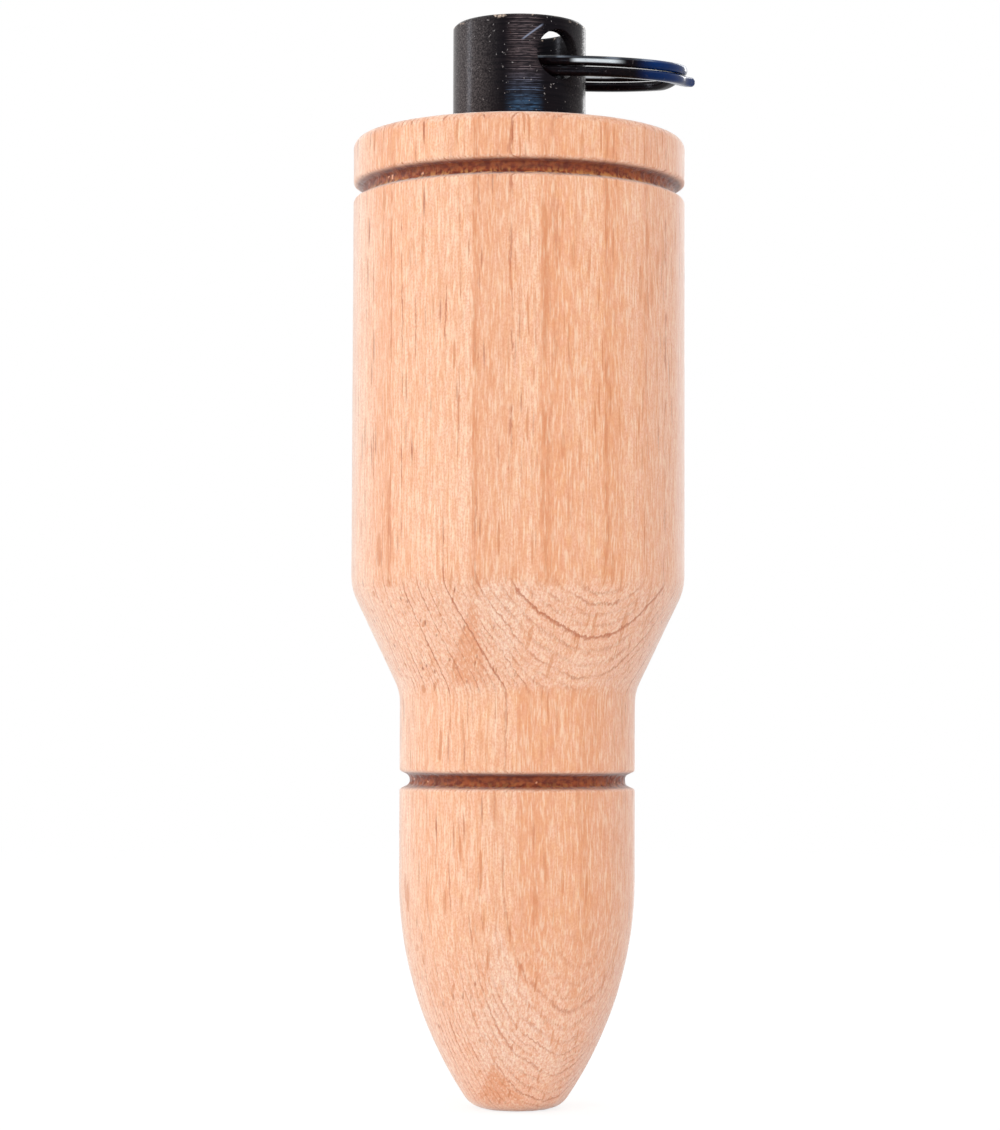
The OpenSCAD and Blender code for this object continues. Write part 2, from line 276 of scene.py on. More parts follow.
def wood_unevenness(r, z, a):
    """Small inward moves: torn fibres in the grooves, and the flats and faint waves that sanding leaves."""
    if r <= PLAIN_BLOW_R or (r < PLAIN_SOCKET_R and z > ABOVE_TIP):
        return 0.0
    at = Vector((r * math.cos(a), r * math.sin(a), z))
    wave = WAVE_DEPTH * (noise.noise(at * WAVE_SCALE) - WAVE_INWARD)
    torn = groove_share(r, z)
    among = Vector((at.x * FIBRE_SCALE, at.y * FIBRE_SCALE, z * FIBRE_SCALE_UP))
    fibres = FIBRE_DEPTH * torn * (noise.noise(among) - FIBRE_INWARD)
    return wave + fibres - flat_hollow(z, a) * (1 - torn)


barrel = piece_from("beech_barrel", *turned(barrel_outline(), BARREL_SIDES, offset=wood_unevenness))
mark_points(barrel, "burn", lambda at: groove_share(math.hypot(at.x, at.y), at.z))
mark_points(barrel, "groove_height", groove_rise)
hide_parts("barrel")
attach(barrel, "barrel")


# Outlet tube: its section turned, and the wall round each end of the cross hole laid in with rounded edges
# The wall's open part: its columns and its mm to each side of the hole, and its rows
HOLE_COLUMNS, HOLE_REACH, HOLE_ROWS = 24, 2.3, 16
# The hole's rounded edge, and the steps along the wall to it and round it
HOLE_EDGE, HOLE_STEPS, EDGE_STEPS = 0.09, 7, 4
COLUMN = 2 * math.pi / TUBE_SIDES
HOLE_WAY = math.radians(CROSS_TURN - 90)
# How round the edges are of the tube's top, of its other ends and of its seal grooves
TOP_EDGE, BROKEN_EDGE, SEAL_EDGE = 0.06, 0.05, 0.04
# How near to a row or wall a point counts as on it
ON_WALL = 0.001


def hole_heights():
    """The rows of the wall that the open part round the cross hole spans."""
    return [CROSS_Z + HOLE_REACH * (2 * j / HOLE_ROWS - 1) for j in range(HOLE_ROWS + 1)]


def tube_outline():
    """Up the outside past both seal grooves and the cross hole, and down through the mouth and the bore."""
    tube_r, bore_r = TUBE_D / 2, TUBE_BORE / 2
    mouth_floor = TUBE_TOP - MOUTH_L
    floor_r = tube_r + SOCKET_PLAY - SEAL_PLAY - SEAL_T - SEAL_PLAY
    half = SEAL_T / 2 + SEAL_SIDE_PLAY
    corners = [
        (bore_r + TUBE_BREAK, SEAT_Z, BROKEN_EDGE),
        (tube_r - TUBE_BREAK, SEAT_Z, BROKEN_EDGE),
        (tube_r, SEAT_Z + TUBE_BREAK, BROKEN_EDGE),
    ]
    for seal_z in (SEAT_Z + SEAL_INSET, BARREL_L - SEAL_INSET):
        low, high = seal_z - half, seal_z + half
        seal_groove = ((tube_r, low), (floor_r, low), (floor_r, high), (tube_r, high))
        corners += [(r, z, SEAL_EDGE) for r, z in seal_groove]
    corners += [(tube_r, z, 0) for z in hole_heights()]
    corners += [
        (tube_r, TUBE_TOP - TUBE_BEVEL, TOP_EDGE),
        (tube_r - TUBE_BEVEL, TUBE_TOP, TOP_EDGE),
        (MOUTH_R + TUBE_BREAK, TUBE_TOP, BROKEN_EDGE),
        (MOUTH_R, TUBE_TOP - TUBE_BREAK, BROKEN_EDGE),
    ]
    corners += [(MOUTH_R, z, 0) for z in reversed(hole_heights())]
    corners += [
        (MOUTH_R, mouth_floor, 0),
        (bore_r, mouth_floor - drill_cone(MOUTH_R, bore_r), 0),
        (bore_r, SEAT_Z + TUBE_BREAK, BROKEN_EDGE),
    ]
    return rounded(corners, TUBE_STEP)


def hole_surround():
    """The edge of the wall's open part, as turns from the hole's direction and heights above its middle."""
    turns = [COLUMN * i for i in range(-HOLE_COLUMNS, HOLE_COLUMNS + 1)]
    heights = [z - CROSS_Z for z in hole_heights()]
    edge = [(a, heights[0]) for a in turns[:-1]]
    edge += [(turns[-1], z) for z in heights[:-1]]
    edge += [(a, heights[-1]) for a in reversed(turns[1:])]
    edge += [(turns[0], z) for z in reversed(heights[1:])]
    return edge


def wall_to_hole(way, turn, height, wall_r, depth_sign):
    """Points from the open part's edge along the wall to the hole, and round the hole's edge into it."""
    spin = math.atan2(height / HOLE_REACH, turn / (COLUMN * HOLE_COLUMNS))
    out, side = Vector((math.cos(way), math.sin(way))), Vector((-math.sin(way), math.cos(way)))
    reach = CROSS_R + HOLE_EDGE
    hole_turn = math.asin(reach * math.cos(spin) / wall_r)
    points = []
    for k in range(HOLE_STEPS):
        share = k / HOLE_STEPS
        a = way + turn + (hole_turn - turn) * share
        z = height + (reach * math.sin(spin) - height) * share
        points.append((wall_r * math.cos(a), wall_r * math.sin(a), CROSS_Z + z))
    for k in range(EDGE_STEPS + 1):
        bend = math.pi / 2 * k / EDGE_STEPS
        reach = CROSS_R + HOLE_EDGE * (1 - math.sin(bend))
        aside = reach * math.cos(spin)
        along = math.sqrt(wall_r ** 2 - aside ** 2) + depth_sign * HOLE_EDGE * (1 - math.cos(bend))
        at = out * along + side * aside
        points.append((at.x, at.y, CROSS_Z + reach * math.sin(spin)))
    return points


def drilled_tube():
    """The turned tube, its wall left open at both ends of the cross hole, and the two rounded surrounds."""
    outline = tube_outline()
    low, high = hole_heights()[0] - ON_WALL, hole_heights()[-1] + ON_WALL

    def left_open(i, j):
        a, b = outline[j], outline[(j + 1) % len(outline)]
        at_hole = (i + HOLE_COLUMNS) % (TUBE_SIDES // 2) < 2 * HOLE_COLUMNS
        return at_hole and a.x > MOUTH_R - ON_WALL and low < a.y < high and low < b.y < high

    points, faces = turned(outline, TUBE_SIDES, HOLE_WAY, left_open=left_open)
    for way in (HOLE_WAY, HOLE_WAY + math.pi):
        lines = []
        for turn, height in hole_surround():
            outside = wall_to_hole(way, turn, height, TUBE_D / 2, -1)
            inside = wall_to_hole(way, turn, height, MOUTH_R, 1)
            lines.append(outside + inside[::-1])
        first, count = len(points), len(lines[0])
        points += [point for line in lines for point in line]
        for i in range(len(lines)):
            k = (i + 1) % len(lines)
            for j in range(count - 1):
                at, beside = first + i * count + j, first + k * count + j
                faces.append((at, beside, beside + 1, at + 1))
    return piece_from("steel_tube", points, faces, sharp=35.0)


tube = drilled_tube()
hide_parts("outlet_tube")
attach(tube, "insert")


# Split ring: two turns of flat wire through the cross hole, the lower end bent a little outward
# Its cut ends: degrees from the end, and the share of the full section there
CUT_END = ((0.0, 0.72), (0.35, 0.93), (0.9, 1.0))


def wire_level(a):
    """The height of the wire's middle, with a smooth step from the lower turn to the upper one."""
    t = share_of((a - 360 + STEP_ANGLE) / STEP_ANGLE)
    return (WIRE_T + TURN_GAP) * (t * t * (3 - 2 * t) - 0.5)


def ring_place():
    """From the flat ring about its own middle to where it hangs in the cross hole."""
    ring_r, tube_r = RING_MEAN_D / 2, TUBE_D / 2
    hang_out = (math.sqrt(ring_r ** 2 - MOUTH_R ** 2) + math.sqrt(ring_r ** 2 - tube_r ** 2)) / 2
    return (
        Matrix.Rotation(math.radians(CROSS_TURN), 4, "Z")
        @ Matrix.Translation((0, 0, CROSS_Z))
        @ Matrix.Rotation(math.radians(-RING_LIFT), 4, "Y")
        @ Matrix.Rotation(math.radians(RING_ROCK), 4, "X")
        @ Matrix.Translation((hang_out, 0, -RING_DROP))
    )


def wire_ring():
    """The flat wire's section led round both turns, with its ends closed."""
    w, t = WIRE_W / 2, WIRE_T / 2
    section = rounded([(x, y, WIRE_ROUND) for x, y in ((-w, -t), (w, -t), (w, t), (-w, t))], SECTION_STEP)
    place = ring_place()
    length = 720 - STEP_ANGLE
    steps = round(length / WIRE_STEP)
    stations = list(CUT_END)
    stations += [(length * i / steps, 1.0) for i in range(1, steps)]
    stations += [(length - a, share) for a, share in CUT_END]
    stations.sort()
    points = []
    for a, share in stations:
        reach = RING_MEAN_D / 2 + KICK_OUT * max(0.0, 1 - a / KICK_ANGLE) ** 2
        turn = math.radians(END_ANGLE - a)
        for p in section:
            out = reach + p.x * share
            flat = Vector((out * math.cos(turn), out * math.sin(turn), wire_level(a) + p.y * share))
            points.append(place @ flat)
    n = len(section)
    faces = [tuple(range(n)), tuple(range(len(points) - n, len(points)))]
    for i in range(len(stations) - 1):
        for j in range(n):
            k = (j + 1) % n
            faces.append((i * n + j, i * n + k, (i + 1) * n + k, (i + 1) * n + j))
    return piece_from("wire_ring", points, faces, sharp=40.0)


ring = wire_ring()
flat_ring = ring_place().inverted()
mark_points(ring, "turn_height", lambda at: (flat_ring @ at).z / (WIRE_T + TURN_GAP))
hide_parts("split_ring")
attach(ring, "ring")


# Finishes
def paint(red, green, blue):
    """A colour as seen, 0 to 255 in each part, as the shader's linear colour."""
    parts = [c / 255 for c in (red, green, blue)]
    return tuple(c / 12.92 if c <= 0.04045 else ((c + 0.055) / 1.055) ** 2.4 for c in parts) + (1.0,)


class Bench:
    """Lays and joins the nodes of one material, node group or world."""

    def __init__(self, tree):
        self.tree = tree

    def feed(self, socket, value):
        """Links another node's output to a socket, or sets a plain value on it."""
        if isinstance(value, bpy.types.NodeSocket):
            self.tree.links.new(value, socket)
        else:
            socket.default_value = value

    def fill(self, made, **values):
        """Feeds a node's inputs by name; underscores stand for spaces."""
        for name, value in values.items():
            self.feed(made.inputs[name.replace("_", " ")], value)
        return made

    def node(self, kind, *values, **settings):
        """A new node with its settings, and its first inputs fed in their order."""
        made = self.tree.nodes.new(kind)
        for name, value in settings.items():
            setattr(made, name, value)
        for socket, value in zip(made.inputs, values):
            self.feed(socket, value)
        return made

    def math(self, operation, *values):
        return self.node("ShaderNodeMath", *values, operation=operation).outputs[0]

    def times(self, value, *others):
        for other in others:
            value = self.math("MULTIPLY", value, other)
        return value

    def line(self, value, gain, start):
        """A value times a gain, on top of a start."""
        return self.math("MULTIPLY_ADD", value, gain, start)

    def vector(self, operation, first, second):
        return self.node("ShaderNodeVectorMath", first, second, operation=operation).outputs[0]

    def joined(self, x, y, z):
        return self.node("ShaderNodeCombineXYZ", x, y, z).outputs[0]

    def parts(self, place):
        return self.node("ShaderNodeSeparateXYZ", place).outputs

    def drawn_out(self, place, stretch):
        """A place whose marks come out longer along the call."""
        return self.vector("MULTIPLY", place, self.joined(1.0, 1.0, self.math("DIVIDE", 1.0, stretch)))

    def facing(self):
        """The parts of the direction in which the surface faces, in the piece's own frame."""
        return self.parts(self.node("ShaderNodeTexCoord").outputs["Normal"])

    def kept(self, name):
        """The number that mark_points left on the piece."""
        return self.node("ShaderNodeAttribute", attribute_name=name).outputs["Fac"]

    def span(self, value, low, high, to_low=0.0, to_high=1.0, smooth=True):
        """Goes from to_low to to_high while a value goes from low to high."""
        passage = "SMOOTHSTEP" if smooth else "LINEAR"
        values = (value, low, high, to_low, to_high)
        return self.node("ShaderNodeMapRange", *values, interpolation_type=passage).outputs[0]

    def within(self, value, start, full, fade, end):
        """1 where a value lies between full and fade, passing to 0 at start and end."""
        return self.times(self.span(value, start, full), self.span(value, fade, end, 1.0, 0.0))

    def curve(self, value, bends):
        """Leads a value from 0 to 1 through straight stretches between (from, to) bends."""
        made = self.node("ShaderNodeFloatCurve")
        points = made.mapping.curves[0].points
        for at, to in bends:
            points.new(at, to)
        for point in points:
            point.handle_type = "VECTOR"
        made.mapping.update()
        return self.fill(made, Value=value).outputs[0]

    def noise(self, place, scale, detail=2.0, rough=0.5):
        made = self.node("ShaderNodeTexNoise")
        return self.fill(made, Vector=place, Scale=scale, Detail=detail, Roughness=rough).outputs["Fac"]

    def sway(self, place, width, scale=1.0, detail=2.0, rough=0.5):
        """Noise to both sides of 0."""
        centred = self.math("SUBTRACT", self.noise(place, scale, detail, rough), 0.5)
        return self.times(centred, width)

    def group(self, tree, **values):
        return self.fill(self.node("ShaderNodeGroup", node_tree=tree), **values).outputs[0]

    def blend(self, share, first, second):
        """One colour passing into another; the node keeps its colours at inputs 6 and 7 and output 2."""
        made = self.node("ShaderNodeMix", share, data_type="RGBA")
        self.feed(made.inputs[6], first)
        self.feed(made.inputs[7], second)
        return made.outputs[2]

    def layers(self, tone, rows):
        """Lays colours over a tone, each where its mask shows and as strongly as its share says."""
        for mask, share, colour in rows:
            tone = self.blend(self.times(mask, share), tone, colour)
        return tone

    def bump(self, height, strength, depth):
        """A normal that follows a height, with its depth in mm."""
        made = self.node("ShaderNodeBump")
        return self.fill(made, Height=height, Strength=strength, Distance=depth * MM).outputs[0]

    def mixed(self, share, first, second):
        """One shader node passing into another."""
        return self.node("ShaderNodeMixShader", share, first.outputs[0], second.outputs[0])


def new_group(name, inputs, output):
    """An empty node group with a Place input in mm, number inputs and one number output."""
    tree = bpy.data.node_groups.new(name, "ShaderNodeTree")
    tree.interface.new_socket("Place", in_out="INPUT", socket_type="NodeSocketVector")
    for label, value in inputs.items():
        tree.interface.new_socket(label, in_out="INPUT", socket_type="NodeSocketFloat").default_value = value
    tree.interface.new_socket(output, in_out="OUTPUT", socket_type="NodeSocketFloat")
    bench = Bench(tree)
    return tree, bench, bench.node("NodeGroupInput").outputs, bench.node("NodeGroupOutput").inputs[0]


def make_speckle():
    """Small grains with soft edges: pores, dust and the specks of a rough finish."""
    inputs = {"Per mm": 4.0, "Stretch": 1.0, "Low": 0.4, "High": 0.7}
    tree, b, given, out = new_group("speckle", inputs, "Speckle")
    grains = b.noise(b.drawn_out(given["Place"], given["Stretch"]), given["Per mm"], 2.0, 0.55)
    b.feed(out, b.span(grains, given["Low"], given["High"]))
    return tree


def make_dashes():
    """Separate spindle-shaped marks that lie along the piece, a share of them showing."""
    inputs = {"Width": 0.1, "Depth": 0.1, "Length": 3.0, "Share": 0.3, "Waver": 0.1}
    tree, b, given, out = new_group("dashes", inputs, "Dash")
    waver = b.sway(b.vector("MULTIPLY", given["Place"], (0.5, 0.5, 0.16)), given["Waver"])
    moved = b.vector("ADD", given["Place"], b.joined(waver, waver, 0.0))
    room = b.vector("MULTIPLY", b.joined(given["Width"], given["Depth"], given["Length"]), (2.5, 2.5, 2.5))
    cells = b.node("ShaderNodeTexVoronoi", voronoi_dimensions="3D", feature="F1")
    b.fill(cells, Vector=b.vector("DIVIDE", moved, room), Scale=1.0)
    shape = b.span(cells.outputs["Distance"], 0.12, 0.4, 1.0, 0.0)
    chance = b.parts(cells.outputs["Color"])
    threshold = b.math("SUBTRACT", 1.0, given["Share"])
    shown = b.span(chance[0], threshold, b.math("ADD", threshold, 0.08))
    b.feed(out, b.times(shape, shown, b.line(chance[1], 0.6, 0.4)))
    return tree


def make_turned_lines():
    """Fine rings round the call's axis, as a tool on the lathe leaves them."""
    tree, b, given, out = new_group("turned_lines", {"Per mm": 4.0, "Waver": 0.05}, "Lines")
    waver = b.sway(given["Place"], given["Waver"], 0.4, 1.0)
    height = b.times(b.math("ADD", b.parts(given["Place"])[2], waver), given["Per mm"])
    lines = b.node("ShaderNodeTexNoise", noise_dimensions="1D")
    b.fill(lines, W=height, Scale=1.0, Detail=3.0, Roughness=0.7)
    b.feed(out, b.span(lines.outputs["Fac"], 0.3, 0.72))
    return tree


def make_broad_tone():
    """Slow changes of tone over several mm."""
    tree, b, given, out = new_group("broad_tone", {"Size": 4.0, "Stretch": 1.0}, "Tone")
    tone = b.noise(b.drawn_out(given["Place"], given["Stretch"]), b.math("DIVIDE", 1.0, given["Size"]))
    b.feed(out, b.span(tone, 0.28, 0.72))
    return tree


SPECKLE, DASHES = make_speckle(), make_dashes()
TURNED_LINES, BROAD_TONE = make_turned_lines(), make_broad_tone()


def new_finish(name):
    """A material with its shader, and a place in mm that stays with the piece."""
    material = bpy.data.materials.new(name)
    material.use_nodes = True
    bench = Bench(material.node_tree)
    shader = material.node_tree.nodes["Principled BSDF"]
    coordinates = bench.node("ShaderNodeTexCoord")
    place = bench.vector("MULTIPLY", coordinates.outputs["Object"], (1 / MM, 1 / MM, 1 / MM))
    return material, bench, shader, place


# How far marks are moved where they are laid again, so that they don't lie on each other
ASIDE, FURTHER = (31.0, 17.0, 43.0), (-57.0, 71.0, 13.0)
TUBE_ASIDE, UP_THE_TUBE = (3.0, 7.0, 11.0), (0.0, 0.0, 37.0)
WIRE_ASIDE = (5.0, 3.0, 9.0)

# Beech
# Growth rings: where each one ends along the direction that faces the bark, in mm from the axis, and how
# strongly that end shows
BARK_TURN = 29.0
GROWTH_RINGS = (
    (-12.6, 0.5), (-11.3, 0.9), (-9.8, 0.6), (-8.7, 0.5), (-7.2, 1.0), (-6.1, 0.6), (-4.9, 0.8), (-3.3, 0.5),
    (-2.2, 0.9), (-0.7, 0.6), (0.6, 0.8), (1.96, 0.7), (2.9, 0.5), (4.0, 1.0), (5.25, 0.8), (6.0, 0.7),
    (7.3, 1.0), (8.2, 0.5), (9.28, 0.55), (10.73, 1.0), (11.83, 0.4), (13.0, 0.6),
)
# How far the rings stray over a long way and over a short one
RING_DRIFT, RING_RAGGED = 0.9, 0.34


def growth_rings(b, grain, inward):
    """The count of growth rings up to each place, with the part of its own, and how strongly that ends."""
    slow = b.vector("MULTIPLY", grain, (0.16, 0.16, 0.035))
    quick = b.vector("MULTIPLY", grain, (3.2, 3.2, 0.9))
    drift = b.math("ADD", b.sway(slow, RING_DRIFT), b.sway(quick, RING_RAGGED, detail=3.0, rough=0.65))
    depth = b.math("SUBTRACT", drift, inward)
    low, high = GROWTH_RINGS[0][0], GROWTH_RINGS[-1][0]
    last = len(GROWTH_RINGS) - 1
    bends = [((at - low) / (high - low), i / last) for i, (at, _) in enumerate(GROWTH_RINGS)]
    count = b.curve(b.span(depth, low, high, smooth=False), bends[1:-1])
    shown = b.node("ShaderNodeValToRGB", count)
    shown.color_ramp.interpolation = "CONSTANT"
    stops = shown.color_ramp.elements
    for i, (_, share) in enumerate(GROWTH_RINGS[1:]):
        stop = stops.new(i / last) if i else stops[0]
        stop.color = (share, share, share, 1.0)
    return b.times(count, float(last)), shown.outputs["Color"]


def ring_marks(b, grain, aside, inward, quarter_cut, slope, above_bullet):
    """Masks of the late wood, of the ends of the growth rings and of the faint lines between them."""
    years, shown = growth_rings(b, grain, inward)
    phase = b.math("FRACT", years)
    late_wood = b.within(phase, 0.4, 0.95, 0.97, 1.0)
    torn = b.group(SPECKLE, Place=grain, Per_mm=1.3, Stretch=5.0, Low=0.5, High=0.62)
    torn = b.times(torn, b.line(quarter_cut, 0.45, 0.5))
    whole = b.group(SPECKLE, Place=aside, Per_mm=0.8, Low=0.3, High=0.6)
    unbroken = b.times(b.span(shown, 0.9, 1.0), above_bullet)
    whole = b.times(slope, b.math("MAXIMUM", whole, unbroken))
    ring_end = b.within(phase, 0.87, 0.95, 0.965, 1.0)
    ring_end = b.times(ring_end, b.math("MAXIMUM", torn, b.times(whole, 0.8)))
    ring_end = b.times(ring_end, shown, b.line(above_bullet, 0.3, 0.7))
    faint_lines = b.within(b.math("FRACT", b.times(years, 3.0)), 0.55, 0.85, 0.9, 1.0)
    broken = b.group(BROAD_TONE, Place=aside, Size=1.4, Stretch=3.0)
    faint_lines = b.times(faint_lines, broken, b.line(slope, 0.5, 0.12))
    return late_wood, ring_end, faint_lines


# Wedges of painted shade and of painted light on the front, from how the lamps' light falls: the point's (x,
# height), the foot's, and half the foot's width
SHADE_WEDGES = (
    (Vector((-3.28, 38.4)), Vector((-3.6, 31.3)), 1.6),
    (Vector((-1.83, 4.1)), Vector((-1.2, 1.0)), 1.9),
)
LIT_WEDGES = (
    (Vector((-0.7, 31.0)), Vector((-0.9, 38.2)), 2.0),
    (Vector((-1.7, 15.0)), Vector((0.2, 3.4)), 3.4),
)
# How far a wedge's sides pass into the wood, and its foot outward and inward
WEDGE_SOFT, FOOT_OUT, FOOT_IN = 0.4, 0.5, 0.3


def wedges(b, place, sizes):
    """1 inside wedges with soft edges on the front, 0 elsewhere."""
    x, y, z = b.parts(place)
    shares = 0.0
    for point, foot, half in sizes:
        upward = math.copysign(1.0, point.y - foot.y)
        up = b.span(z, foot.y, point.y, smooth=False)
        off = b.math("ABSOLUTE", b.math("SUBTRACT", x, b.line(up, point.x - foot.x, foot.x)))
        inside = b.span(b.math("SUBTRACT", b.line(up, -half, half), off), 0.0, WEDGE_SOFT)
        foot_end = b.span(z, foot.y - FOOT_OUT * upward, foot.y + FOOT_IN * upward)
        shares = b.math("ADD", shares, b.times(inside, foot_end))
    return b.times(b.math("LESS_THAN", y, 0.0), shares)


# How far the change of painted light and shade at a flat's edge reaches to each side, as a share of the whole
# turn
FLAT_EDGE = 0.0015
# Heights over which the body's flats set in, and over which the bullet's come up from the tip and end
BODY_FLATS_FROM, BULLET_FLATS_FROM = (BODY_Z - 0.6, BODY_Z + 0.2), (4.0, OGIVE_L)
BULLET_FLATS_END = (SHOULDER_Z - 0.2, SHOULDER_Z + 0.4)


def flat_light_share(b, turn, flats):
    """The painted light on the flat at each angle from the front, from 0 for darker painted shade to 1 for
    paler painted light.
    """
    bends = []
    last = flats[-1][2]
    for edge, tone, end in flats:
        at = (edge + 180) / 360
        bends += [(at - FLAT_EDGE, last), (at + FLAT_EDGE, tone)]
        last = end
    return b.curve(b.span(turn, -math.pi, math.pi, smooth=False), bends)


def sanded_flats(b, along, turn):
    """Where the body is, and how much painted light and painted shade lie on its flats and the bullet's."""
    on_body = b.span(along, *BODY_FLATS_FROM)
    on_bullet = b.span(along, *BULLET_FLATS_END, 1.0, 0.0)
    on_bullet = b.times(on_bullet, b.span(along, *BULLET_FLATS_FROM, 0.25, 1.0))
    lit_bullet = b.times(flat_light_share(b, turn, BULLET_FLATS), on_bullet)
    lit_share = b.math("ADD", b.times(flat_light_share(b, turn, BODY_FLATS), on_body), lit_bullet)
    return on_body, lit_share, b.math("SUBTRACT", b.math("ADD", on_body, on_bullet), lit_share)


def burnt_groove(b, place, aside, along):
    """Scorched wood with painted shadow along the groove's upper edge, under its lip, and pale torn tufts
    along the lower one.
    """
    rise = b.kept("groove_height")
    singed = b.group(SPECKLE, Place=place, Per_mm=1.9, Stretch=0.6, Low=0.34, High=0.66)
    tufts = b.group(SPECKLE, Place=aside, Per_mm=3.4, Stretch=2.0, Low=0.44, High=0.6)
    torn_out = b.times(b.span(rise, 0.15, 0.55, 0.9, 0.08), b.span(along, BODY_Z, BODY_TOP, 0.35, 1.0))
    return b.layers(b.blend(singed, paint(108, 44, 28), paint(158, 78, 42)), (
        # painted shadow under the groove's upper lip
        (b.span(rise, 0.35, 0.8), 0.4, paint(90, 40, 32)),
        (tufts, torn_out, paint(216, 152, 88)),
    ))


# Where the painted light on the paler left side and the painted shade on the duller right side begin and are
# full, in radians from the front
LIT_LEFT_SIDE, SHADED_RIGHT_SIDE = (-0.9, -1.25), (0.5, 0.85)
# How far to the side of the bark's direction the cut along the rays begins and is full
QUARTER_CUT = (3.0, 8.5)
# Heights over which the pale of that cut gives way to the rim's own tone
RIM_TONE = (RIM_Z - 0.2, RIM_Z + 0.2)


